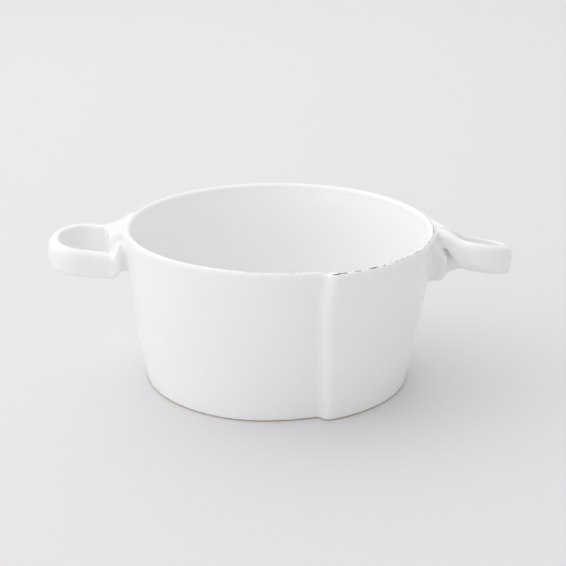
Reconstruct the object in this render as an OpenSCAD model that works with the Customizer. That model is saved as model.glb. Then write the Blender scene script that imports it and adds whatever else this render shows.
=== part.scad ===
// Soup crock built from clay slabs: one slab rolled round the floor with its ends lapped
// at the front, a coil worked into the inside corner, and two looped strap handles.
// The origin is the centre of the flat underside. +X runs through the right handle and
// -Y is the front, where the lap shows.

/* [Body] */
// Height of the crock from the table to the rim
body_h = 64; // [54:1:80]
// Radius of the wall's outer face at the foot
foot_r = 53.7; // [46:0.1:60]
// Radius of the wall's outer face at the rim
rim_r = 62.4; // [58:0.1:72]
// How far the side swells past a straight line
belly = 0.8; // [0:0.1:2]
// How far the rim leans towards the right handle
rim_shift = 0.8; // [0:0.1:2]

/* [Wall slab] */
// Thickness of the slab that is rolled into the wall
wall_t = 4.2; // [3.4:0.1:5]
// Direction of the slab's outer end at the foot, in degrees from +X
seam_foot_az = -73; // [-80:0.5:-60]
// Direction of the slab's outer end at the rim, in degrees from +X
seam_rim_az = -78.5; // [-85:0.5:-65]
// Angle over which the slab's ends lap each other
lap_deg = 14; // [13:1:18]
// Angle over which each end of the slab is rounded off
end_deg = 6; // [3:0.1:6.4]
// How far the outer end stands out of round at the foot
foot_rise = 2.4; // [1:0.1:4]
// How far the outer end stands out of round at the rim
rim_rise = 6; // [3:0.1:8]
// Height of the rounding over the rim
rim_round = 2.6; // [1:0.1:4]
// Depth of the valley between the two layers at the lap
lap_valley = 1.1; // [0.4:0.1:2]
// Drop of each rounded end at the rim
end_drop = 2.2; // [0:0.1:4]
// Rounding of the outer edge at the foot
foot_round = 1.2; // [0.4:0.1:2]

/* [Floor] */
// Thickness of the floor slab
floor_t = 5; // [4:0.1:7]
// Leg of the coil that fills the corner inside
coil_leg = 9; // [5:0.5:14]

/* [Handles] */
// Thickness of the handle strap
strap_t = 4.4; // [3.6:0.1:5]
// Distance from the rim down to the saddle and the pads at the wall
neck_drop = 1.2; // [0.6:0.1:4]
// Height of the strap where it is pressed on to the wall behind the neck
pad_h = 15; // [12:0.1:18]
// Bend radius of the straps where they leave the wall behind the neck
back_bend_r = 5; // [4:0.1:5.6]
// Length of the straps pressed on to the wall behind the neck
back_pad = 13; // [6:0.5:16]
// Thickness left at the strap's long edges, as a share of its thickness
edge_share = 0.5; // [0.4:0.05:0.8]

/* [Left handle] */
// Direction of the left handle, in degrees from +X
left_az = 181; // [176:0.5:186]
// Radius of the left loop at its mid thickness
left_loop_r = 11.8; // [10:0.1:13]
// Distance from the wall to the middle of the left loop
left_reach = 17.9; // [16.8:0.1:19]
// Height of the left strap round its loop
left_strap_h = 11.4; // [9:0.1:14]
// Distance from the rim down to the top of the left loop
left_drop = 5; // [3:0.1:10]
// Tilt of the left loop about its own length, in degrees
left_roll = 9; // [0:0.5:14]
// Direction in which the left strap's front leg leaves the wall, in degrees
left_front_deg = 86; // [70:1:90]
// Direction in which the left strap's back leg leaves the wall, in degrees
left_back_deg = 65; // [58:1:80]
// Bend radius of the left strap's front leg at the wall
left_front_bend_r = 2.4; // [2.3:0.1:3.4]
// Length of the left strap's front leg pressed on to the wall
left_front_pad = 1.5; // [1:0.5:8]
// Height of the left strap's front leg at the wall
left_front_h = 11.7; // [10:0.1:15]
// Distance from the rim down to the left strap's front leg at the wall
left_front_drop = 5.2; // [1.2:0.1:7]
// How far the left strap's front leg sinks on its way to the wall
left_front_sink = 2.6; // [0:0.1:4]
// How far the left handle's filling reaches out from the wall at its front
left_front_web = 6; // [4:0.1:8]
// How far the left handle's filling reaches out from the wall at its back
left_back_web = 10; // [7:0.1:11]

/* [Right handle] */
// Direction of the right handle, in degrees from +X
right_az = -2; // [-8:0.5:6]
// Radius of the right loop at its mid thickness
right_loop_r = 11; // [10:0.1:12]
// Distance from the wall to the middle of the right loop
right_reach = 19.7; // [18.4:0.1:20.6]
// Height of the right strap round its loop
right_strap_h = 12.1; // [9:0.1:14]
// Distance from the rim down to the top of the right loop
right_drop = 4; // [3:0.1:10]
// Tilt of the right loop about its own length, in degrees
right_roll = 10.5; // [0:0.5:16]
// Droop of the right loop towards its tip, in degrees
right_droop = 7.5; // [0:0.5:10]
// Direction in which the right strap's front leg leaves the wall, in degrees
right_front_deg = 60; // [50:1:75]
// Direction in which the right strap's back leg leaves the wall, in degrees
right_back_deg = 50; // [48:1:70]
// Bend radius of the right strap's front leg at the wall
right_front_bend_r = 3.7; // [3.5:0.1:5]
// Length of the right strap's front leg pressed on to the wall
right_front_pad = 4.5; // [3:0.5:10]
// Height of the right strap's front leg at the wall
right_front_h = 19.4; // [14:0.1:22]
// Extra thickness of the right strap's front leg at its foot on the wall
right_front_swell = 2.8; // [0:0.1:3]
// How far the right handle's filling reaches out from the wall
right_web = 8; // [6:0.1:9]

/* [Hidden] */

glaze_white = "#f3f1ee";
glaze_shade = "#e6e4e1";
clay_tan = "#cdb9a2";

// gap left where a handle's clay meets the wall or its own web
seat_gap = 0.05;

// a smooth step from 0 to 1
function smooth(x) = let (s = min(max(x, 0), 1)) s * s * (3 - 2 * s);
// a quarter round from 0 to 1, as the end of a slab is wiped over
function quarter(x) = let (s = min(max(x, 0), 1)) sqrt(max(0, 1 - (1 - s) * (1 - s)));
function mix(a, b, s) = a + (b - a) * s;

// the rolled slab: radii at angle a past its outer end and at height share h
function slab_rise(h) = mix(foot_rise, rim_rise, h);
rise_span = 114;
tuck_span = 40;
function slab_path(a, h) =
    mix(foot_r, rim_r, h) + 4 * belly * h * (1 - h)
    + slab_rise(h) * (1 - smooth(a / rise_span))
    - (wall_t - slab_rise(h)) * smooth((a - 360 + tuck_span) / tuck_span);

// share of the full thickness that the outer layer and the tucked layer have
end_share = 0.12;
function outer_layer(a) = max(end_share, quarter(a / end_deg));
function tucked_layer(a) = a >= lap_deg ? 0 : max(end_share, quarter((lap_deg - a) / end_deg));
function seam_az(z) = mix(seam_foot_az, seam_rim_az, max(z, floor_t) / body_h);
function turn(az, z) = (az - seam_az(z)) - 360 * floor((az - seam_az(z)) / 360);

function outer_r(a, z) = slab_path(a, z / body_h) - wall_t * (1 - outer_layer(a));
function middle_r(a, z) = slab_path(a, z / body_h) - wall_t;
function inner_r(a, z) =
    slab_path(a, max(z, floor_t) / body_h) - wall_t * (1 + tucked_layer(a));

function on_axis(r, az, z) =
    [r * cos(az) + rim_shift * max(z, floor_t) / body_h, r * sin(az), z];
function on_slab(a, p) = on_axis(p[0], a + seam_az(p[1]), p[1]);

// angles of the slab's sections: close together at the lap and even beyond it
end_steps = 6;
lap_steps = 3;
ring_steps = 84;
slab_angles = [
    for (i = [0 : end_steps]) end_deg * (1 - cos(90 * i / end_steps)),
    for (i = [1 : lap_steps - 1]) mix(end_deg, lap_deg - end_deg, i / lap_steps),
    for (i = [0 : end_steps]) lap_deg - end_deg * cos(90 * i / end_steps),
    for (i = [1 : ring_steps - 1]) mix(lap_deg, 360, i / ring_steps)
];

// the rim is a half round over one layer, or two half rounds with a valley at the lap
rim_steps = 12;
function nose(k, r_out, r_in, top) =
    let (phi = 180 * k, mid = (r_out + r_in) / 2, half = (r_out - r_in) / 2)
    [mid + half * cos(phi), top - rim_round * (1 - sin(phi))];
function rim_points(a) =
    let (z = body_h - rim_round,
         out = outer_r(a, z), inn = inner_r(a, z), cut = middle_r(a, z),
         half = rim_steps / 2,
         top_out = body_h - end_drop * (1 - outer_layer(a)),
         top_in = body_h - end_drop * (1 - tucked_layer(a)))
    tucked_layer(a) == 0
    ? [for (k = [0 : rim_steps]) nose(k / rim_steps, out, inn, top_out)]
    : [for (k = [0 : rim_steps])
        let (p = k <= half ? nose(k / half, out, cut, top_out)
                           : nose(k / half - 1, cut, inn, top_in))
        k < 2 || k > rim_steps - 2 ? p : [p[0], max(p[1], body_h - lap_valley - end_drop)]];

outer_shares = [0.14, 0.3, 0.46, 0.62, 0.78];
inner_shares = [0.74, 0.5];
coil_top = floor_t + coil_leg;
function wall_section(a) = concat(
    [[outer_r(a, 0) - foot_round, 0],
     [outer_r(a, 0) - foot_round * (1 - cos(45)), foot_round * (1 - sin(45))],
     [outer_r(a, foot_round), foot_round]],
    [for (s = outer_shares) [outer_r(a, s * body_h), s * body_h]],
    rim_points(a),
    [for (s = inner_shares) [inner_r(a, s * body_h), s * body_h]],
    [[inner_r(a, coil_top), coil_top], [inner_r(a, floor_t), floor_t], [inner_r(a, floor_t), 0]]
);

// triangles of a tube through equal sections: closed on itself, or capped at both ends
function tube_faces(rings, n, closed) = concat(
    [for (i = [0 : closed ? rings - 1 : rings - 2], k = [0 : n - 1])
        let (a = i * n + k, b = i * n + (k + 1) % n,
             c = ((i + 1) % rings) * n + (k + 1) % n, d = ((i + 1) % rings) * n + k)
        each [[a, b, c], [a, c, d]]],
    closed ? [] : [for (k = [0 : n / 2 - 2], t = [[k, k + 1, n - 1 - k], [k + 1, n - 2 - k, n - 1 - k]])
        each [[t[2], t[1], t[0]], [for (v = t) (rings - 1) * n + v]]]
);
module tube(sections, closed = false) {
    n = len(sections[0]);
    polyhedron(points = [for (s = sections, p = s) p],
               faces = tube_faces(len(sections), n, closed), convexity = 8);
}

module wall_slab() {
    color(glaze_white)
    tube([for (a = slab_angles) [for (p = wall_section(a)) on_slab(a, p)]], closed = true);
}

module floor_slab() {
    color(clay_tan)
    linear_extrude(floor_t)
    polygon([for (a = slab_angles)
        let (p = on_slab(a, [inner_r(a, floor_t), floor_t])) [p[0], p[1]]]);
}

coil_steps = 6;
module corner_coil() {
    color(glaze_shade)
    tube([for (a = slab_angles)
        let (top = inner_r(a, coil_top), low = inner_r(a, floor_t))
        [for (p = concat(
            [[low, floor_t]],
            [for (k = [0 : coil_steps])
                let (phi = 90 * k / coil_steps)
                [mix(low, top, 1 - sin(phi)) - coil_leg * (1 - cos(phi)),
                 coil_top - coil_leg * sin(phi)]]))
         on_slab(a, p)]], closed = true);
}

// a handle is drawn in plan, u out from the wall and v along it, and wrapped on the wall
// a leg's values: pad length, height, drop and sink at the wall, bend radius, direction,
// share of the reach at which it is free of the wall, reach of the filling beside it, and
// extra thickness at the foot
free_share = 0.75;
low_free_share = 0.3;
left_legs = [
    [back_pad, pad_h, neck_drop, 0, back_bend_r, left_back_deg, free_share, left_back_web, 0],
    [left_front_pad, left_front_h, left_front_drop, left_front_sink, left_front_bend_r,
     left_front_deg, low_free_share, left_front_web, 0]];
right_legs = [
    [right_front_pad, right_front_h, neck_drop, 0, right_front_bend_r, right_front_deg,
     free_share, right_web, right_front_swell],
    [back_pad, pad_h, neck_drop, 0, back_bend_r, right_back_deg, free_share, right_web, 0]];
// a handle's values: direction, loop radius, reach, tilt, droop, place of the blend between
// its legs, half width of the blend, the two legs, the one on the -v side first, and the top
// and the bottom of the loop
left_blend_v = 5;
right_blend_v = -3;
blend_half = 3;
left = [left_az, left_loop_r, left_reach, left_roll, 0, left_blend_v, blend_half, left_legs,
        body_h - left_drop, body_h - left_drop - left_strap_h];
right = [right_az, right_loop_r, right_reach, right_roll, right_droop, right_blend_v, blend_half,
         right_legs, body_h - right_drop, body_h - right_drop - right_strap_h];

pad_seat = strap_t / 2 + seat_gap;

// one value of the legs, blended from the first to the second along the wall
function between(i, v, h) = mix(h[7][0][i], h[7][1][i], smooth((v - h[5] + h[6]) / (2 * h[6])));
// 1 on the wall, falling to 0 where the strap is free of it
function hug(u, v, h) = 1 - smooth((u - pad_seat) / (between(6, v, h) * h[2] - pad_seat));
// how far a leg has sunk at distance u from the wall
sink_share = 0.6;
low_sink_share = 0.7;
function sink(u, v, h) =
    let (start = h[2] + sink_share * h[1])
    between(3, v, h) * smooth((start - u) / (start - pad_seat));
function strap_top(u, v, h) =
    mix(h[8] - sink(u, v, h), body_h - between(2, v, h), hug(u, v, h));
function strap_low(u, v, h) =
    mix(h[9] - low_sink_share * sink(u, v, h),
        body_h - between(2, v, h) - between(1, v, h), hug(u, v, h));

// outer face of the wall, followed over the rim's rounding
function face_r(a, z) =
    let (q = min(max((z - body_h + rim_round) / rim_round, 0), 1))
    outer_r(a, z) - wall_t / 2 * (1 - sqrt(1 - q * q));

function wrap(u, v, z, h) =
    let (loose = 1 - hug(u, v, h),
         lean = z - (v * tan(h[3]) + u * tan(h[4])) * loose,
         mid_z = (h[8] + h[9]) / 2,
         az = h[0],
         seat_r = outer_r(turn(az, mid_z), mid_z),
         side = az + v / seat_r * 180 / PI,
         near = on_axis(face_r(turn(side, lean), lean) + u, side, lean),
         out = seat_r + u,
         free = [out * cos(az) - v * sin(az) + rim_shift * lean / body_h,
                 out * sin(az) + v * cos(az), lean])
    mix(near, free, loose);

// length of the straight between a leg's bend and the loop, and the bend's place along the wall
function leg_run(leg, h) =
    (h[2] - pad_seat - leg[4] - (h[1] + leg[4]) * cos(leg[5])) / sin(leg[5]);
function leg_v(leg, h) = (h[1] + leg[4]) * sin(leg[5]) - leg_run(leg, h) * cos(leg[5]);

// path stations: [u, v, direction of the outer face, share of full size]
pad_steps = 5;
bend_steps = 6;
run_steps = 3;
loop_steps = 14;
pad_end_share = 0.3;
pad_wipe_share = 0.5;
function pad_size(d, len) = mix(pad_end_share, 1, quarter(d / (len * pad_wipe_share)));
function leg_path(leg, h) =
    let (pad = leg[0], r = leg[4], deg = leg[5], run = leg_run(leg, h), foot = leg_v(leg, h))
    concat(
    [for (i = [0 : pad_steps - 1])
        let (d = pad * (1 - cos(90 * i / pad_steps)))
        [pad_seat, -foot - pad + d, 0, pad_size(d, pad)]],
    [for (i = [0 : bend_steps])
        let (phi = mix(180, deg, i / bend_steps))
        [pad_seat + r * (1 + cos(phi)), -foot + r * sin(phi), phi + 180, 1]],
    [for (i = [1 : run_steps])
        let (d = run * i / run_steps)
        [pad_seat + r * (1 + cos(deg)) + d * sin(deg), -foot + r * sin(deg) - d * cos(deg),
         deg + 180, 1]],
    [for (i = [1 : loop_steps])
        let (psi = mix(180 + deg, 360, i / loop_steps))
        [h[2] + h[1] * cos(psi), h[1] * sin(psi), psi, 1]]);
function strap_path(h) =
    let (first = leg_path(h[7][0], h), second = leg_path(h[7][1], h), last = len(second) - 2)
    concat(first, [for (i = [last : -1 : 0])
        [second[i][0], -second[i][1], -second[i][2], second[i][3]]]);

// a D: flat inside, crowned outside, with the long edges rounded; square where it meets the wall
crown_shares = [0.4, 0.7, 0.88];
edge_degs = [50, 90, 130, 180];
half_points = concat(
    [for (s = crown_shares) [mix(edge_share, 1, sqrt(1 - s * s * s * s)), s, 0]],
    [for (phi = edge_degs) [edge_share * (1 + cos(phi)) / 2, 1, 1 - sin(phi)]]);
// 1 on a leg's pad, falling to 0 at its bend
swell_share = 0.45;
swell_end_share = 0.33;
function on_pad(v, h) =
    let (leg = h[7][v < 0 ? 0 : 1])
    smooth((abs(v) - leg_v(leg, h)) / (leg[4] * swell_end_share) + 1);
function strap_section(p, h) =
    let (top = strap_top(p[0], p[1], h), low = strap_low(p[0], p[1], h),
         mid = (top + low) / 2, tall = (top - low) / 2 * p[3], edge = edge_share * strap_t / 2 * p[3],
         loose = 1 - hug(p[0], p[1], h), last = len(half_points) - 1)
    [for (half = [1, -1], k = [0 : last])
        let (c = half_points[half > 0 ? k : last - k],
             cut = edge * c[2] * (c[0] < edge_share / 2 ? loose : 1),
             z = mid + half * (c[1] * tall - cut),
             grown = c[0] > edge_share ? h[7][p[1] < 0 ? 0 : 1][8] * on_pad(p[1], h) * p[3] : 0,
             d = strap_t * (c[0] * p[3] - 1 / 2)
                 + grown * smooth((top - z) / (2 * tall * swell_share)))
        wrap(p[0] + d * cos(p[2]), p[1] + d * sin(p[2]), z, h)];

module strap(h) {
    tube([for (p = strap_path(h)) strap_section(p, h)]);
}

// clay pressed between the strap's two legs, dressed to a saddle below the rim
web_steps = 10;
web_dip = 0.5;
web_sag = 1;
// place along the wall of a leg's inner face, at distance u from the wall
function leg_inside(u, leg, h) =
    let (r = leg[4], deg = leg[5], back = strap_t / 2 + seat_gap, foot = leg_v(leg, h),
         bend_u = pad_seat + r + (r + back) * cos(deg))
    u < bend_u
    ? foot - sqrt(max(0, (r + back) * (r + back) - (u - pad_seat - r) * (u - pad_seat - r)))
    : foot - (r + back) * sin(deg) + (u - bend_u) / tan(deg);
function web_place(s, q, h) =
    let (legs = h[7],
         u = mix(seat_gap, mix(legs[0][7], legs[1][7], q) - web_sag * 4 * q * (1 - q), s))
    [u, mix(-leg_inside(u, legs[0], h), leg_inside(u, legs[1], h), q)];
module root_web(h) {
    tube([for (i = [0 : web_steps])
        let (s = i / web_steps,
             top = [for (k = [0 : web_steps]) web_place(s, k / web_steps, h)],
             low = [for (k = [web_steps : -1 : 0]) top[k]])
        concat([for (p = top) wrap(p[0], p[1], strap_top(p[0], p[1], h) - web_dip, h)],
               [for (p = low) wrap(p[0], p[1], strap_low(p[0], p[1], h) + web_dip, h)])]);
}

module left_handle_strap() {
    color(glaze_white) strap(left);
}
module left_root_web() {
    color(glaze_shade) root_web(left);
}
module right_handle_strap() {
    color(glaze_white) strap(right);
}
module right_root_web() {
    color(glaze_shade) root_web(right);
}

wall_slab();
floor_slab();
corner_coil();
left_handle_strap();
left_root_web();
right_handle_strap();
right_root_web();
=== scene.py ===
# White glazed soup crock built from clay slabs, with two looped strap handles.
import math

import bmesh
import bpy
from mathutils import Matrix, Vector


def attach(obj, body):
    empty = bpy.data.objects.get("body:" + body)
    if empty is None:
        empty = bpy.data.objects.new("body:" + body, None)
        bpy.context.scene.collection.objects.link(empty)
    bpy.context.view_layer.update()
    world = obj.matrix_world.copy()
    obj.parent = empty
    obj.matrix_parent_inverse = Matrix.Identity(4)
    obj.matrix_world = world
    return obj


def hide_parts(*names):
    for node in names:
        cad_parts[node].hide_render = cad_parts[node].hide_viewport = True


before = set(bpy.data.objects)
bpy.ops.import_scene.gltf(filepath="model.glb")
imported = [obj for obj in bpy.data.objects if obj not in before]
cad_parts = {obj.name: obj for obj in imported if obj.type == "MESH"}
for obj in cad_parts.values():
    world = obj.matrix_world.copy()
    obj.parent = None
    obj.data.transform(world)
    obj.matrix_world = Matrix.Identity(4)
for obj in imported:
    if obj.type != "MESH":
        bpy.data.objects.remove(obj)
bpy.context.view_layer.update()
print("frame loaded:", sorted(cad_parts))

mm = 0.001  # shapes are worked out in millimetres and brought to metres at the end


# ---- camera, from the photograph's own perspective
camera = dict(pixelFocal=1400, imageSize=566, filmWidth=36, place=(0.00307, -0.5445, 0.2312), below=19.52)

cameraData = bpy.data.cameras.new("photoCamera")
cameraData.sensor_width = camera["filmWidth"]
cameraData.lens = camera["pixelFocal"] / camera["imageSize"] * camera["filmWidth"]
cameraObject = bpy.data.objects.new("photoCamera", cameraData)
cameraObject.location = camera["place"]
cameraObject.rotation_euler = (math.radians(90 - camera["below"]), 0, 0)
bpy.context.collection.objects.link(cameraObject)
bpy.context.scene.camera = cameraObject
print("camera placed")


# ---- small helpers for the shapes
def smoothStep(x):
    s = min(max(x, 0), 1)
    return s * s * (3 - 2 * s)


def quarterRound(x):
    s = min(max(x, 0), 1)
    return math.sqrt(max(0, 1 - (1 - s) ** 2))


def mix(a, b, s):
    return a + (b - a) * s


# ---- materials
def srgb(code):
    parts = [int(code[i:i + 2], 16) / 255 for i in (1, 3, 5)]
    return tuple(c / 12.92 if c <= 0.04045 else ((c + 0.055) / 1.055) ** 2.4 for c in parts) + (1,)


def addNode(tree, kind, settings=None, links=None):
    node = tree.nodes.new(kind)
    for name, value in (settings or {}).items():
        if isinstance(name, str) and hasattr(node, name):
            setattr(node, name, value)
        else:
            node.inputs[name].default_value = value
    for name, source in (links or {}).items():
        tree.links.new(source, node.inputs[name])
    return node


def newMaterial(name):
    material = bpy.data.materials.new(name)
    material.use_nodes = True
    tree = material.node_tree
    tree.nodes.clear()
    return material, tree


# sizes are in millimetres; From and To are where a break in the glaze starts and is complete
glaze = dict(white="#f8f8f8", thin="#f3f2f2", iron="#3c2a22", rust="#8a5a40", clay="#dfcfb9",
             ior=1.5, roughness=0.16, dryRoughness=0.8, cloud=22.222, thinShare=0.3,
             dashLength=2.381, dashWidth=0.6667, wornFrom=1.28, wornTo=1.36,
             rustFrom=1.18, rustTo=1.32, rustShare=0.75, ragged=3.846, bareFrom=0.72, bareTo=0.82,
             wave=14, waveDepth=0.12, peel=1.6, peelDepth=0.006, grain=1.1111, grainDepth=0.1)


# tin-white stoneware glaze, dipped and fired glossy: it lies in soft waves, breaks to bare iron-brown
# clay in short dashes along the rim's crest and stops just short of the foot
def glazedStoneware():
    material, tree = newMaterial("glazedStoneware")
    place = addNode(tree, "ShaderNodeTexCoord").outputs["Object"]
    way = addNode(tree, "ShaderNodeAttribute", {"attribute_name": "slabWay"}).outputs["Vector"]
    crest = addNode(tree, "ShaderNodeAttribute", {"attribute_name": "crest"}).outputs["Fac"]
    foot = addNode(tree, "ShaderNodeAttribute", {"attribute_name": "foot"}).outputs["Fac"]

    # the coat is a little thinner in broad clouds
    cloud = addNode(tree, "ShaderNodeTexNoise", {"Scale": 1 / (glaze["cloud"] * mm), "Detail": 2},
                    {"Vector": place})
    share = addNode(tree, "ShaderNodeMapRange",
                    {"From Min": 0.45, "From Max": 0.95, "To Max": glaze["thinShare"]},
                    {"Value": cloud.outputs["Fac"]})
    # a colour mix has its two colours on sockets 6 and 7, and gives its colour on output 2
    body = addNode(tree, "ShaderNodeMix",
                   {"data_type": "RGBA", 6: srgb(glaze["white"]), 7: srgb(glaze["thin"])},
                   {"Factor": share.outputs["Result"]})

    # worn dashes, drawn out along the rim: rust-brown at their edges and iron-dark inside
    dashes = (1 / (glaze["dashLength"] * mm), 1 / (glaze["dashWidth"] * mm), 1)
    stretch = addNode(tree, "ShaderNodeMapping", {"Scale": dashes}, {"Vector": way})
    dash = addNode(tree, "ShaderNodeTexNoise", {"Scale": 1, "Detail": 3, "Roughness": 0.6},
                   {"Vector": stretch.outputs["Vector"]})
    level = addNode(tree, "ShaderNodeMath", {"operation": "ADD"},
                    {0: dash.outputs["Fac"], 1: crest})
    worn = addNode(tree, "ShaderNodeMapRange",
                   {"From Min": glaze["wornFrom"], "From Max": glaze["wornTo"]},
                   {"Value": level.outputs[0]})
    rusty = addNode(tree, "ShaderNodeMapRange",
                    {"From Min": glaze["rustFrom"], "From Max": glaze["rustTo"],
                     "To Max": glaze["rustShare"]},
                    {"Value": level.outputs[0]})

    # the glaze line at the foot is ragged
    ragged = addNode(tree, "ShaderNodeTexNoise", {"Scale": 1 / (glaze["ragged"] * mm), "Detail": 3},
                     {"Vector": place})
    edge = addNode(tree, "ShaderNodeMath", {"operation": "MULTIPLY_ADD", 1: 0.5},
                   {0: ragged.outputs["Fac"], 2: foot})
    bare = addNode(tree, "ShaderNodeMapRange",
                   {"From Min": glaze["bareFrom"], "From Max": glaze["bareTo"]},
                   {"Value": edge.outputs[0]})

    colour = body.outputs[2]
    for tone, amount in (("rust", rusty), ("iron", worn), ("clay", bare)):
        colour = addNode(tree, "ShaderNodeMix", {"data_type": "RGBA", 7: srgb(glaze[tone])},
                         {"Factor": amount.outputs["Result"], 6: colour}).outputs[2]

    dry = addNode(tree, "ShaderNodeMath", {"operation": "MAXIMUM"},
                  {0: worn.outputs["Result"], 1: bare.outputs["Result"]})
    rough = addNode(tree, "ShaderNodeMapRange",
                    {"To Min": glaze["roughness"], "To Max": glaze["dryRoughness"]},
                    {"Value": dry.outputs[0]})

    # broad waves, a faint orange peel, and the clay's grain where the glaze has gone
    waves = addNode(tree, "ShaderNodeTexNoise", {"Scale": 1 / (glaze["wave"] * mm), "Detail": 1},
                    {"Vector": place})
    peel = addNode(tree, "ShaderNodeTexNoise", {"Scale": 1 / (glaze["peel"] * mm), "Detail": 1},
                   {"Vector": place})
    grain = addNode(tree, "ShaderNodeTexNoise", {"Scale": 1 / (glaze["grain"] * mm), "Detail": 3},
                    {"Vector": place})
    gritty = addNode(tree, "ShaderNodeMath", {"operation": "MULTIPLY"},
                     {0: grain.outputs["Fac"], 1: dry.outputs[0]})
    bump = addNode(tree, "ShaderNodeBump", {"Strength": 1, "Distance": glaze["waveDepth"] * mm},
                   {"Height": waves.outputs["Fac"]})
    bump = addNode(tree, "ShaderNodeBump", {"Strength": 1, "Distance": glaze["peelDepth"] * mm},
                   {"Height": peel.outputs["Fac"], "Normal": bump.outputs["Normal"]})
    bump = addNode(tree, "ShaderNodeBump", {"Strength": 0.6, "Distance": glaze["grainDepth"] * mm},
                   {"Height": gritty.outputs[0], "Normal": bump.outputs["Normal"]})
    shader = addNode(tree, "ShaderNodeBsdfPrincipled", {"IOR": glaze["ior"]},
                     {"Base Color": colour, "Roughness": rough.outputs["Result"],
                      "Normal": bump.outputs["Normal"]})
    addNode(tree, "ShaderNodeOutputMaterial", links={"Surface": shader.outputs["BSDF"]})
    return material


bareClay = dict(pale="#dccab2", dark="#c4ad92", paleFrom=0.35, darkTo=0.1, roughness=0.85,
                cloud=14.2857, grit=0.8, gritDepth=0.12)  # sizes in millimetres


# unglazed fired stoneware under the foot, smoothed with a sponge: matt, tan, with fine dark grit
def spongedClay():
    material, tree = newMaterial("spongedClay")
    place = addNode(tree, "ShaderNodeTexCoord").outputs["Object"]
    cloud = addNode(tree, "ShaderNodeTexNoise", {"Scale": 1 / (bareClay["cloud"] * mm), "Detail": 4},
                    {"Vector": place})
    grit = addNode(tree, "ShaderNodeTexNoise", {"Scale": 1 / (bareClay["grit"] * mm), "Detail": 2},
                   {"Vector": place})
    blend = addNode(tree, "ShaderNodeMath", {"operation": "MULTIPLY"},
                    {0: cloud.outputs["Fac"], 1: grit.outputs["Fac"]})
    ramp = addNode(tree, "ShaderNodeValToRGB", links={"Fac": blend.outputs[0]})
    dark, pale = ramp.color_ramp.elements
    dark.position, dark.color = bareClay["darkTo"], srgb(bareClay["dark"])
    pale.position, pale.color = bareClay["paleFrom"], srgb(bareClay["pale"])
    bump = addNode(tree, "ShaderNodeBump", {"Strength": 0.5, "Distance": bareClay["gritDepth"] * mm},
                   {"Height": grit.outputs["Fac"]})
    shader = addNode(tree, "ShaderNodeBsdfPrincipled", {"Roughness": bareClay["roughness"]},
                     {"Base Color": ramp.outputs["Color"], "Normal": bump.outputs["Normal"]})
    addNode(tree, "ShaderNodeOutputMaterial", links={"Surface": shader.outputs["BSDF"]})
    return material


glazeMaterial = glazedStoneware()
clayMaterial = spongedClay()
print("materials made")


# ---- making a piece from its bmesh
finish = dict(crease=50, sole=0.2, facingDown=-0.9)  # angle of a sharp edge; which faces are unglazed
weld = 0.0001  # points closer than this many millimetres are one
tiny = 0.001  # a smaller difference in millimetres doesn't count


def makePiece(bm, name, nodes):
    bmesh.ops.scale(bm, vec=(mm, mm, mm), verts=bm.verts)
    bmesh.ops.recalc_face_normals(bm, faces=bm.faces)
    bm.normal_update()
    for face in bm.faces:
        face.smooth = True
        under = face.normal.z < finish["facingDown"] and face.calc_center_median().z < finish["sole"] * mm
        face.material_index = 1 if under else 0  # the underside is left bare
    for edge in bm.edges:
        edge.smooth = len(edge.link_faces) != 2 or edge.calc_face_angle(0) < math.radians(finish["crease"])
    mesh = bpy.data.meshes.new(name)
    bm.to_mesh(mesh)
    bm.free()
    mesh.materials.append(glazeMaterial)
    mesh.materials.append(clayMaterial)
    piece = bpy.data.objects.new(name, mesh)
    bpy.context.collection.objects.link(piece)
    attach(piece, "root")
    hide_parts(*nodes)
    print("made", name, "with", sum(len(p.vertices) - 2 for p in mesh.polygons), "triangles")
    return piece


# ---- wall: one slab rolled into a ring, its right-hand end lapped outside its left-hand end
wall = dict(height=64, footRadius=53.7, rimRadius=62.3, belly=0.8, lean=0.8, thickness=4.2,
            seamFoot=-73, seamRim=-78.5, lap=14, endRound=7, footRise=2.4, rimRise=6,
            riseSpan=114, tuckSpan=40, stepSpan=5.8, stepSlope=65, stepFoot=0.3, stepRim=2.4,
            lip=2.9, lipSpan=12, doubleLip=6.5, crestIn=1, rimRound=2, endDrop=0.5, footRound=0.9,
            rings=720, sideCuts=40, rimCuts=19, footCuts=4,
            # the wear's place across the rim and how fast it fades, the rim's arc, the glaze line's height
            wearPlace=0.47, wearFade=3.6, rimArc=6.5, bareFoot=1.4,
            # direction from +X, and how far the rim's glaze has broken there
            wear=[(-180, 0.35), (-134, 0.4), (-131, 0.72), (-128, 0.4), (-121, 0.45), (-118.5, 0.74),
                  (-116, 0.5), (-108.5, 0.5), (-107, 0.74), (-103.5, 0.74), (-102.5, 0.62), (-101, 0.78),
                  (-94, 0.8), (-89.5, 0.76), (-88, 0.62), (-86, 0.8), (-81, 0.78), (-79.5, 0.5),
                  (-73, 0.5), (-72, 0.98), (-67.5, 0.98), (-66.8, 0.65), (-65, 0.65), (-64.6, 0.98),
                  (-62.4, 0.98), (-62, 0.72), (-61.4, 0.96), (-60.8, 0.72), (-59.3, 0.75), (-59, 1.02),
                  (-56, 1.02), (-55.5, 0.72), (-53.6, 0.72), (-53, 0.95), (-52.4, 0.78), (-50, 0.83),
                  (-30, 0.82), (-10, 0.84), (5, 0.76), (20, 0.6), (45, 0.4), (120, 0.38), (180, 0.35)])
floor = dict(thickness=5, rings=180)
coil = dict(leg=9, arcCuts=12)


# a is the angle round the roll in degrees, from the slab's outer end; h is a share of the height
def slabRise(h):
    return mix(wall["footRise"], wall["rimRise"], h)


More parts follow.
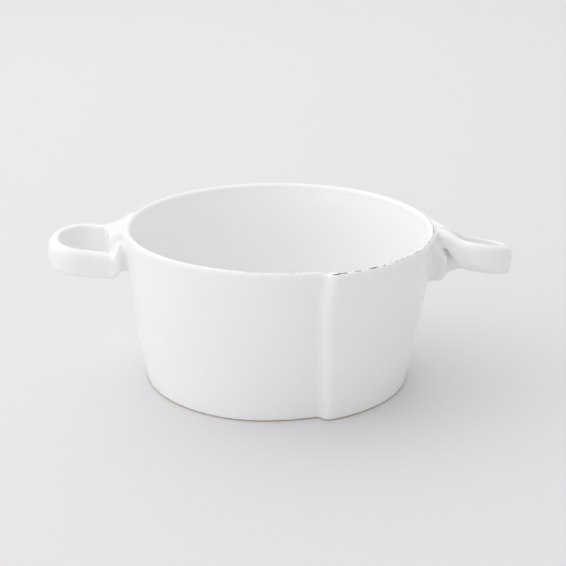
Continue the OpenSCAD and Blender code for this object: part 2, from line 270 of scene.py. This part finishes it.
# the spiral of the slab's outer face: it stands out at the outer end and is tucked in at the inner one
def slabPath(a, h):
    tuck = smoothStep((a - 360 + wall["tuckSpan"]) / wall["tuckSpan"])
    return (mix(wall["footRadius"], wall["rimRadius"], h) + 4 * wall["belly"] * h * (1 - h)
            + slabRise(h) * (1 - smoothStep(a / wall["riseSpan"]))
            - (wall["thickness"] - slabRise(h)) * tuck)


# the outer end of the slab rises out of the wall in a soft step: a hollow arc runs into a round one,
# and the step starts a little later over the top quarter of the height
def outerLayer(a, z):
    start = mix(wall["stepFoot"], wall["stepRim"], smoothStep(4 * z / wall["height"] - 3))
    t, steep = min(max((a - start) / wall["stepSpan"], 0), 1), math.radians(wall["stepSlope"])
    arc = 0.5 * (1 - math.sqrt(1 - (2 * min(t, 1 - t) * math.sin(steep)) ** 2)) / (1 - math.cos(steep))
    return arc if t < 0.5 else 1 - arc


def tuckedLayer(a):
    return smoothStep((wall["lap"] - a) / wall["endRound"])


def seamAzimuth(z):
    return mix(wall["seamFoot"], wall["seamRim"], max(z, floor["thickness"]) / wall["height"])


def turnFrom(azimuth, z):
    return (azimuth - seamAzimuth(z)) % 360


def outerRadius(a, z):
    return slabPath(a, z / wall["height"]) - wall["thickness"] * (1 - outerLayer(a, z))


# the inner face leans outward under the rim, so that the lip is thinner than the wall
def innerRadius(a, z):
    clay, doubled = wall["thickness"], outerLayer(a, z) * tuckedLayer(a)
    thinned = mix(clay - wall["lip"], 2 * clay - wall["doubleLip"], doubled)
    return (slabPath(a, max(z, floor["thickness"]) / wall["height"]) - clay * (1 + tuckedLayer(a))
            + thinned * max(0, 1 - (wall["height"] - wall["rimRound"] - z) / wall["lipSpan"]) ** 2)


def onAxis(r, azimuth, z):
    angle = math.radians(azimuth)
    lean = wall["lean"] * max(z, floor["thickness"]) / wall["height"]
    return Vector((r * math.cos(angle) + lean, r * math.sin(angle), z))


def onSlab(a, r, z):
    return onAxis(r, a + seamAzimuth(z), z)


# k runs from the outer face, 0, over the crest of the rim, 0.5, to the inner face, 1
def rimPoint(a, k):
    z, step = wall["height"] - wall["rimRound"], outerLayer(a, wall["height"])
    rOut, rIn = outerRadius(a, z), innerRadius(a, z)
    crest = rOut - wall["crestIn"]
    side = wall["crestIn"] if k < 0.5 else crest - rIn
    up = math.sin(math.pi * k)
    return (crest + side * math.cos(math.pi * k),
            z + wall["rimRound"] * up - wall["endDrop"] * 4 * step * (1 - step) * up)


def wearAt(azimuth):
    azimuth = (azimuth + 180) % 360 - 180
    marks = wall["wear"]
    for (a, low), (b, high) in zip(marks, marks[1:]):
        if azimuth <= b:
            return mix(low, high, (azimuth - a) / (b - a))
    return marks[-1][1]


# a section of clay drawn in the YZ plane and drawn out flat along X, where 1 mm is a degree of the roll
def drawOut(bm, points, cuts, rings):
    corners = [bm.verts.new((0, y, z)) for y, z in points]
    sides = [bm.edges.new((a, b)) for a, b in zip(corners, corners[1:] + corners[:1])]
    for edge, count in zip(sides, cuts):
        if count:
            bmesh.ops.subdivide_edges(bm, edges=[edge], cuts=count)
    drawn = bmesh.ops.extrude_edge_only(bm, edges=bm.edges[:])["geom"]
    bmesh.ops.translate(bm, vec=(360, 0, 0), verts=[v for v in drawn if isinstance(v, bmesh.types.BMVert)])
    bmesh.ops.subdivide_edges(bm, edges=[e for e in bm.edges if e.verts[0].co.x != e.verts[1].co.x],
                              cuts=rings - 1, use_grid_fill=True)


def makeWall():
    bm = bmesh.new()
    outer, side, foot = wall["rimRadius"], wall["height"] - wall["rimRound"], wall["footRound"]
    inner = outer - wall["thickness"]
    drawOut(bm, ((outer, foot), (outer, side), (inner, side), (inner, 0), (outer - foot, 0)),
            (wall["sideCuts"], wall["rimCuts"], wall["sideCuts"], 2, wall["footCuts"]), wall["rings"])
    way = bm.verts.layers.float_vector.new("slabWay")
    crest = bm.verts.layers.float.new("crest")
    bare = bm.verts.layers.float.new("foot")
    for vert in bm.verts:
        a, r, z = vert.co.x % 360, vert.co.y, vert.co.z
        k = (outer - r) / wall["thickness"]
        if z > side - tiny:
            r, z = rimPoint(a, k)
            fade = max(0, 1 - abs(k - wall["wearPlace"]) * wall["wearFade"])
            vert[crest] = wearAt(a + wall["seamRim"]) * fade
        elif z < foot - tiny and r > outer - foot + tiny:
            phi = math.acos(1 - z / foot)
            r = outerRadius(a, z) - foot + foot * math.sin(phi)
        elif r > outer - tiny:
            r = outerRadius(a, z)
        elif z < tiny:
            across = (outer - foot - r) / (wall["thickness"] - foot)
            r = mix(outerRadius(a, 0) - foot, innerRadius(a, 0), across)
        else:
            r = innerRadius(a, z)
        vert[way] = (math.radians(a) * wall["rimRadius"] * mm, k * wall["rimArc"] * mm, 0)
        vert[bare] = max(0, 1 - z / wall["bareFoot"])
        vert.co = onSlab(a, r, z)
    bmesh.ops.remove_doubles(bm, verts=bm.verts, dist=weld)
    return makePiece(bm, "wall", ["wall_slab"])


def makeFloor():
    bm = bmesh.new()
    bmesh.ops.create_circle(bm, cap_ends=True, radius=1, segments=floor["rings"])
    drawn = bmesh.ops.extrude_face_region(bm, geom=bm.faces[:])["geom"]
    top = [v for v in drawn if isinstance(v, bmesh.types.BMVert)]
    bmesh.ops.translate(bm, vec=(0, 0, floor["thickness"]), verts=top)
    for vert in bm.verts:
        a, z = math.degrees(math.atan2(vert.co.y, vert.co.x)) % 360, vert.co.z
        vert.co = onSlab(a, innerRadius(a, floor["thickness"]), floor["thickness"])
        vert.co.z = z
    return makePiece(bm, "floor", ["floor_slab"])


def makeCoil():
    bm = bmesh.new()
    leg = coil["leg"]
    drawOut(bm, ((leg, leg), (0, 0), (leg, 0)), (coil["arcCuts"], 0, 0), wall["rings"] // 2)
    coilTop = floor["thickness"] + leg
    for vert in bm.verts:
        a, r, z = vert.co.x % 360, vert.co.y, vert.co.z
        high, base = innerRadius(a, coilTop), innerRadius(a, floor["thickness"])
        if r > z + tiny:
            vert.co = onSlab(a, base, floor["thickness"])
            continue
        phi = (1 - z / leg) * math.pi / 2
        vert.co = onSlab(a, mix(base, high, 1 - math.sin(phi)) - leg * (1 - math.cos(phi)),
                         coilTop - leg * math.sin(phi))
    bmesh.ops.remove_doubles(bm, verts=bm.verts, dist=weld)
    return makePiece(bm, "cornerCoil", ["corner_coil"])


makeWall()
makeFloor()
makeCoil()


# ---- handles: a strap on edge, bent to a loop, with a web between its legs, worked into the wall
# u runs outward from the wall's face, v along the wall, and up is a share of a leg's height
strap = dict(thickness=4.4, seatGap=0.05, edgeRound=0.9, bevelShare=0.8, padEnd=0.3, padWipe=0.5,
             crown=0.4, crownPower=4, sinkStart=0.6, lowSink=0.7, heightCuts=15, lengthCuts=220,
             groovePlace=1.7, grooveFlat=1.3, swellPlace=4.6, swellFlat=1.2, swell=0.3, grooveSpan=1.6)
web = dict(dip=0.5, bite=0.7, cuts=15)
# the tab at the end of the right web: how far it stands out from the wall at its foot and at the rim
tab = dict(foot=6.7, rim=1.2, riseFrom=0.42, riseSpan=0.5, edge=1, edgeSpan=1.6)
# the skin joins strap and web to the wall; within the snap it follows the wall's face exactly
skin = dict(margin=7, plungeMargin=3, rimGap=0.5, depth=1.7, cuts=63, voxel=0.36, smoothing=7,
            snapIn=0.45, snapOut=0.3, lift=0.02, dive=0.04, diveSpan=5, crestGap=1.2, crestSpan=1.6)
# the first leg of each strap is on its -v side: the back of the left handle and the front of the
# right one; the front legs run straight into the wall, the back ones are bent on to it
leftHandle = dict(azimuth=181, loopRadius=11.8, reach=17.8, height=11.4, loopDrop=5, roll=9, droop=0,
                  middle=7.4, blend=1.8, webSag=1, webDepth=15, tab=0, inset=0, legs=(
    dict(pad=13, padHeight=15, topDrop=1.2, sink=0, bend=5, angle=65, rise=0.75, web=10, groove=0),
    dict(plunge=3, padHeight=11.7, topDrop=5.2, sink=2.6, bend=0, angle=86, rise=0.3, web=6, groove=1.7)))
rightHandle = dict(azimuth=-2, loopRadius=11, reach=19.6, height=12.1, loopDrop=4, roll=10.5, droop=7.5,
                   middle=-3, blend=2.5, webSag=1, webDepth=21.7, tab=7.5, inset=-0.4, legs=(
    dict(plunge=3, padHeight=5, topDrop=1.2, sink=0, bend=0, angle=60, rise=0.7, web=14, groove=0),
    dict(pad=13, padHeight=15, topDrop=1.2, sink=0, bend=5, angle=50, rise=0.75, web=8, groove=0)))
padSeat = strap["thickness"] / 2 + strap["seatGap"]


def loopTop(h):
    return wall["height"] - h["loopDrop"]


def seatRadius(h):
    z = loopTop(h) - h["height"] / 2
    return outerRadius(turnFrom(h["azimuth"], z), z)


def betweenLegs(name, v, h):
    first, second = h["legs"]
    return mix(first[name], second[name], smoothStep((v - h["middle"] + h["blend"]) / (2 * h["blend"])))


# 1 on the wall, falling to 0 where the strap is free of it
def hug(u, v, h):
    return 1 - smoothStep((u - padSeat) / (betweenLegs("rise", v, h) * h["reach"] - padSeat))


# how far a leg sinks on its way from the loop to the wall
def sinkAt(u, v, h):
    start = h["reach"] + h["loopRadius"] * strap["sinkStart"]
    return betweenLegs("sink", v, h) * smoothStep((start - u) / (start - padSeat))


def strapTop(u, v, h):
    return mix(loopTop(h) - sinkAt(u, v, h), wall["height"] - betweenLegs("topDrop", v, h), hug(u, v, h))


def strapLow(u, v, h):
    foot = wall["height"] - betweenLegs("topDrop", v, h) - betweenLegs("padHeight", v, h)
    return mix(loopTop(h) - h["height"] - sinkAt(u, v, h) * strap["lowSink"], foot, hug(u, v, h))


# the wall's outer face, followed over the rim's rounding
def faceRadius(a, z):
    q = min(max((z - wall["height"] + wall["rimRound"]) / wall["rimRound"], 0), 1)
    return outerRadius(a, z) - wall["crestIn"] * (1 - math.sqrt(1 - q * q))


# a point of the handle in its place: it follows the wall's curve near the wall and is free further out
def wrap(u, v, z, h):
    loose = 1 - hug(u, v, h)
    roll, droop = math.tan(math.radians(h["roll"])), math.tan(math.radians(h["droop"]))
    z -= (v * roll + u * droop) * loose
    seatR = seatRadius(h)
    side = h["azimuth"] + math.degrees(v / seatR)
    near = onAxis(faceRadius(turnFrom(side, z), z) + u, side, z)
    az = math.radians(h["azimuth"])
    out = seatR + u
    free = Vector((out * math.cos(az) - v * math.sin(az) + wall["lean"] * z / wall["height"],
                   out * math.sin(az) + v * math.cos(az), z))
    return near.lerp(free, loose)


# angle, bend radius, straight length and place along the wall of a leg
def legShape(leg, h):
    angle, bend = math.radians(leg["angle"]), leg["bend"]
    run = (h["reach"] - padSeat - bend - (h["loopRadius"] + bend) * math.cos(angle)) / math.sin(angle)
    return angle, bend, run, (h["loopRadius"] + bend) * math.sin(angle) - run * math.cos(angle)


# lengths of a leg's pad, bend, straight and half of the loop
def legSpans(leg, h):
    angle, bend, run, _ = legShape(leg, h)
    turn = math.pi - angle
    return leg.get("plunge") or leg["pad"], bend * turn, run, h["loopRadius"] * turn


def strapLength(h):
    return sum(sum(legSpans(leg, h)) for leg in h["legs"])


# place, direction of the outer face and share of full size at distance s along the strap
def strapStation(s, h):
    first, second = h["legs"]
    far = s > sum(legSpans(first, h))
    leg, d = (second, strapLength(h) - s) if far else (first, s)
    spans = legSpans(leg, h)
    part = 0
    while part < 3 and d > spans[part]:
        d -= spans[part]
        part += 1
    f = min(max(d / spans[part], 0), 1) if spans[part] else 0
    angle, bend, run, foot = legShape(leg, h)
    size = 1
    if part == 0 and "plunge" in leg:
        d = leg["plunge"] * (1 - f)
        u, v, way = padSeat - d * math.sin(angle), -foot + d * math.cos(angle), angle + math.pi
    elif part == 0:
        u, v, way = padSeat, -foot - leg["pad"] * (1 - f), 0
        size = mix(strap["padEnd"], 1, quarterRound(f / strap["padWipe"]))
    elif part == 1:
        phi = math.pi - f * (math.pi - angle)
        u, v, way = padSeat + bend * (1 + math.cos(phi)), -foot + bend * math.sin(phi), phi + math.pi
    elif part == 2:
        u = padSeat + bend * (1 + math.cos(angle)) + f * run * math.sin(angle)
        v, way = -foot + bend * math.sin(angle) - f * run * math.cos(angle), angle + math.pi
    else:
        way = math.pi + angle + f * (math.pi - angle)
        u, v = h["reach"] + h["loopRadius"] * math.cos(way), h["loopRadius"] * math.sin(way)
    return (u, -v, -way, size) if far else (u, v, way, size)


# a groove is pressed between the leg's end and the wall, and its clay swells up beyond it
def grooveShare(u):
    groove = smoothStep(strap["grooveFlat"] - abs(u - strap["groovePlace"]) / strap["grooveSpan"])
    swell = smoothStep(strap["swellFlat"] - abs(u - strap["swellPlace"]) / strap["grooveSpan"])
    return groove - strap["swell"] * swell


# a bar with rounded edges and a crowned outer face, bent along the strap's way
def bendStrap(bm, h):
    length = strapLength(h)
    bar = bmesh.ops.create_cube(bm, size=1)["verts"]
    bmesh.ops.scale(bm, vec=(length, strap["thickness"], h["height"]), verts=bar)
    bmesh.ops.translate(bm, vec=(length / 2, 0, 0), verts=bar)
    upright = [e for e in bm.edges if abs(e.verts[0].co.z - e.verts[1].co.z) > 1]
    bmesh.ops.subdivide_edges(bm, edges=upright, cuts=strap["heightCuts"], use_grid_fill=True)
    half, edge = h["height"] / 2, strap["edgeRound"]
    for vert in bm.verts:  # the outer face is crowned: thickest at mid height
        share = abs(vert.co.z) / half
        crown = mix(strap["crown"], 1, math.sqrt(max(0, 1 - share ** strap["crownPower"])))
        vert.co.y = (vert.co.y + strap["thickness"] / 2) * crown - strap["thickness"] / 2
    corners = [e for e in bm.edges if abs(e.verts[0].co.x - e.verts[1].co.x) > 1
               and min(abs(v.co.z) for v in e.verts) > half - 0.01]
    bmesh.ops.bevel(bm, geom=corners, offset=edge * strap["bevelShare"], offset_type="OFFSET", segments=4,
                    profile=0.5, affect="EDGES", material=-1)
    lengthwise = [e for e in bm.edges if abs(e.verts[0].co.x - e.verts[1].co.x) > 1]
    bmesh.ops.subdivide_edges(bm, edges=lengthwise, cuts=strap["lengthCuts"], use_grid_fill=True)
    for vert in bm.verts:
        u, v, way, size = strapStation(vert.co.x, h)
        top, low = strapTop(u, v, h), strapLow(u, v, h)
        tall, rest = (top - low) * size / 2, half - abs(vert.co.z)
        # the rounded edges keep their size, and the flat between them takes up the height
        out = tall - rest * size if rest < edge else (half - rest) / (half - edge) * (tall - edge * size)
        z = (top + low) / 2 + math.copysign(out, vert.co.z)
        d = strap["thickness"] / 2 * (size - 1) + vert.co.y * size
        if vert.co.y > 0:
            d -= h["legs"][0 if v < 0 else 1]["groove"] * grooveShare(u)
        vert.co = wrap(u + d * math.cos(way), v + d * math.sin(way), z, h)


# distance along the wall from the handle's middle to a leg's inner face, at distance u from the wall
def legInside(u, leg, h):
    angle, bend, run, foot = legShape(leg, h)
    back = strap["thickness"] / 2 - web["bite"]
    bendEnd = padSeat + bend * (1 + math.cos(angle))
    loopStart = h["reach"] - h["loopRadius"] * math.cos(angle)
    if u < bendEnd:
        return foot - math.sqrt(max(0, (bend + back) ** 2 - (u - padSeat - bend) ** 2))
    if u < loopStart:
        return foot - bend * math.sin(angle) + (u - bendEnd) / math.tan(angle) - back / math.sin(angle)
    return math.sqrt(max(0, (h["loopRadius"] - back) ** 2 - (h["reach"] - u) ** 2))


# clay pressed between the legs, dressed to a saddle below the rim
def pressWeb(bm, h):
    bmesh.ops.create_cube(bm, size=2)
    bmesh.ops.subdivide_edges(bm, edges=bm.edges[:], cuts=web["cuts"], use_grid_fill=True)
    first, second = h["legs"]
    for vert in bm.verts:
        s, q, up = (vert.co.x + 1) / 2, (vert.co.y + 1) / 2, (vert.co.z + 1) / 2
        edge = mix(first["web"], second["web"], q) - h["webSag"] * 4 * q * (1 - q)
        u = mix(-web["bite"], edge, s)
        side = legInside(u, first, h)
        if h["tab"]:  # the web passes under the leg, set back from its face, and ends in a tab on the wall
            out = mix(tab["foot"], tab["rim"], smoothStep((up - tab["riseFrom"]) / tab["riseSpan"]))
            side += mix(h["tab"], -h["inset"], smoothStep((u - out + tab["edge"]) / tab["edgeSpan"]))
        v = mix(-side, legInside(u, second, h), q)
        loose = mix(loopTop(h) - h["height"], wall["height"] - h["webDepth"], hug(u, v, h))
        low, top = min(loose, strapLow(u, v, h)) + web["dip"], strapTop(u, v, h) - web["dip"]
        vert.co = wrap(u, v, mix(low, top, up), h)


# how far the skin reaches along the wall to both sides, down it and up it
def skinReach(h):
    low, high = (legShape(leg, h)[3] + leg.get("pad", skin["plungeMargin"]) + skin["margin"]
                 for leg in h["legs"])
    return (-low - h["tab"], high,
            wall["height"] - h["webDepth"] - skin["margin"], wall["height"] - skin["rimGap"])


# a skin of the wall's own clay under the pads, so that the strap can be smoothed into it
def spreadSkin(bm, h):
    low, high, base, top = skinReach(h)
    bmesh.ops.create_cube(bm, size=1)
    bmesh.ops.subdivide_edges(bm, edges=bm.edges[:], cuts=skin["cuts"], use_grid_fill=True)
    seatR = seatRadius(h)
    for vert in bm.verts:
        v, z = mix(low, high, vert.co.x + 0.5), mix(base, top, vert.co.z + 0.5)
        side = h["azimuth"] + math.degrees(v / seatR)
        a = turnFrom(side, z)
        r = mix(outerRadius(a, z) - skin["depth"], faceRadius(a, z), vert.co.y + 0.5)
        vert.co = onAxis(r, side, z)


def makeHandle(h, name, nodes):
    mesh = bpy.data.meshes.new(name + "Rough")
    bm = bmesh.new()
    for shape in (bendStrap, pressWeb, spreadSkin):
        lump = bmesh.new()
        shape(lump, h)
        bmesh.ops.recalc_face_normals(lump, faces=lump.faces)
        lump.to_mesh(mesh)
        lump.free()
        bm.from_mesh(mesh)
    bm.to_mesh(mesh)
    bm.free()
    rough = bpy.data.objects.new(name + "Rough", mesh)
    bpy.context.collection.objects.link(rough)
    joined = rough.modifiers.new("joined", "REMESH")
    joined.mode, joined.voxel_size, joined.adaptivity = "VOXEL", skin["voxel"], 0
    bm = bmesh.new()
    bm.from_object(rough, bpy.context.evaluated_depsgraph_get())
    bpy.data.objects.remove(rough)
    bpy.data.meshes.remove(mesh)
    for _ in range(skin["smoothing"]):
        bmesh.ops.smooth_vert(bm, verts=bm.verts, factor=0.5,
                              use_axis_x=True, use_axis_y=True, use_axis_z=True)
    # where the skin lies on the wall it follows it exactly, and dives under it round its border
    low, high, base, _ = skinReach(h)
    seatR = seatRadius(h)
    half, tall = wall["crestIn"], wall["rimRound"]
    for vert in bm.verts:
        x, z = vert.co.x - wall["lean"] * vert.co.z / wall["height"], vert.co.z
        r, side = math.hypot(x, vert.co.y), math.degrees(math.atan2(vert.co.y, x))
        a = turnFrom(side, z)
        rise = z - wall["height"] + tall
        face = outerRadius(a, min(z, wall["height"] - tall))
        if rise > 0:
            across, up = (r - face + half) / half, rise / tall
            gap = (math.hypot(across, up) - 1) * tall
            crestLeft = math.atan2(max(across, 0), up) * tall
        else:
            gap, crestLeft = r - face, math.inf
        if gap < -skin["snapIn"] or gap > skin["snapOut"]:
            continue
        v = math.radians((side - h["azimuth"] + 180) % 360 - 180) * seatR
        border = min(v - low, high - v, z - base)
        shown = min(smoothStep(border / skin["diveSpan"]),
                    smoothStep((crestLeft - skin["crestGap"]) / skin["crestSpan"]))
        new = mix(mix(-skin["dive"], skin["lift"], shown), gap, smoothStep(gap / skin["snapOut"]))
        if rise > 0:
            grow = (1 + new / tall) / (1 + gap / tall)
            r, z = face - half + (r - face + half) * grow, wall["height"] - tall + rise * grow
        else:
            r += new - gap
        vert.co = onAxis(r, side, z)
    return makePiece(bm, name, nodes)


makeHandle(leftHandle, "leftHandle", ["left_handle_strap", "left_root_web"])
makeHandle(rightHandle, "rightHandle", ["right_handle_strap", "right_root_web"])


# ---- floor, backdrop and light
# seen is the backdrop's tone for the camera; the other four are the strength of the room's light
stage = dict(tone="#e2e2e4", roughness=0.6, size=6,
             seen=0.86, horizon=0.76, zenith=0.8, left=1.14, right=0.86)


def makeStage():
    bm = bmesh.new()
    bmesh.ops.create_grid(bm, x_segments=1, y_segments=1, size=stage["size"] / 2)
    mesh = bpy.data.meshes.new("paleFloor")
    bm.to_mesh(mesh)
    bm.free()
    material, tree = newMaterial("paleBoard")  # matt white board under the crock
    shader = addNode(tree, "ShaderNodeBsdfPrincipled",
                     {"Base Color": srgb(stage["tone"]), "Roughness": stage["roughness"]})
    addNode(tree, "ShaderNodeOutputMaterial", links={"Surface": shader.outputs["BSDF"]})
    mesh.materials.append(material)
    board = bpy.data.objects.new("paleFloor", mesh)
    bpy.context.collection.objects.link(board)


makeStage()
world = bpy.data.worlds.new("studio")
bpy.context.scene.world = world
world.use_nodes = True
tree = world.node_tree
tree.nodes.clear()
ray = addNode(tree, "ShaderNodeLightPath")
seen = addNode(tree, "ShaderNodeMath", {"operation": "MAXIMUM"},
               {0: ray.outputs["Is Camera Ray"], 1: ray.outputs["Is Transmission Ray"]})
# the room is a little brighter overhead, and brightest towards the window on the left
place = addNode(tree, "ShaderNodeTexCoord").outputs["Generated"]
way = addNode(tree, "ShaderNodeSeparateXYZ", links={0: place})
level = addNode(tree, "ShaderNodeMapRange", {"To Min": stage["horizon"], "To Max": stage["zenith"]},
                {"Value": way.outputs["Z"]})
side = addNode(tree, "ShaderNodeMapRange",
               {"From Min": -1, "To Min": stage["left"], "To Max": stage["right"]},
               {"Value": way.outputs["X"]})
room = addNode(tree, "ShaderNodeMath", {"operation": "MULTIPLY"},
               {0: level.outputs["Result"], 1: side.outputs["Result"]})
strength = addNode(tree, "ShaderNodeMapRange", {"To Max": stage["seen"]},
                   {"Value": seen.outputs[0], "To Min": room.outputs[0]})
sky = addNode(tree, "ShaderNodeBackground", {"Color": (1, 1, 1, 1)},
              {"Strength": strength.outputs["Result"]})
addNode(tree, "ShaderNodeOutputWorld", links={"Surface": sky.outputs["Background"]})

# places and sizes in metres, powers in watts; both lamps are turned to the crock
lamps = dict(
    window=dict(place=(-1.0, -0.42, 0.75), size=(1.6, 1.2), power=3.1),
    overhead=dict(place=(-0.4, 0.65, 1.05), size=(2.4, 1.7), power=6.1),
)
for name, lamp in lamps.items():
    data = bpy.data.lights.new(name, "AREA")
    data.shape = "RECTANGLE"
    data.size, data.size_y = lamp["size"]
    data.energy = lamp["power"]
    light = bpy.data.objects.new(name, data)
    light.location = lamp["place"]
    aim = Vector((0, 0, 0.03)) - light.location
    light.rotation_euler = aim.to_track_quat("-Z", "Y").to_euler()
    bpy.context.collection.objects.link(light)

bpy.context.scene.view_settings.view_transform = "Standard"
print("stage and lamps set")
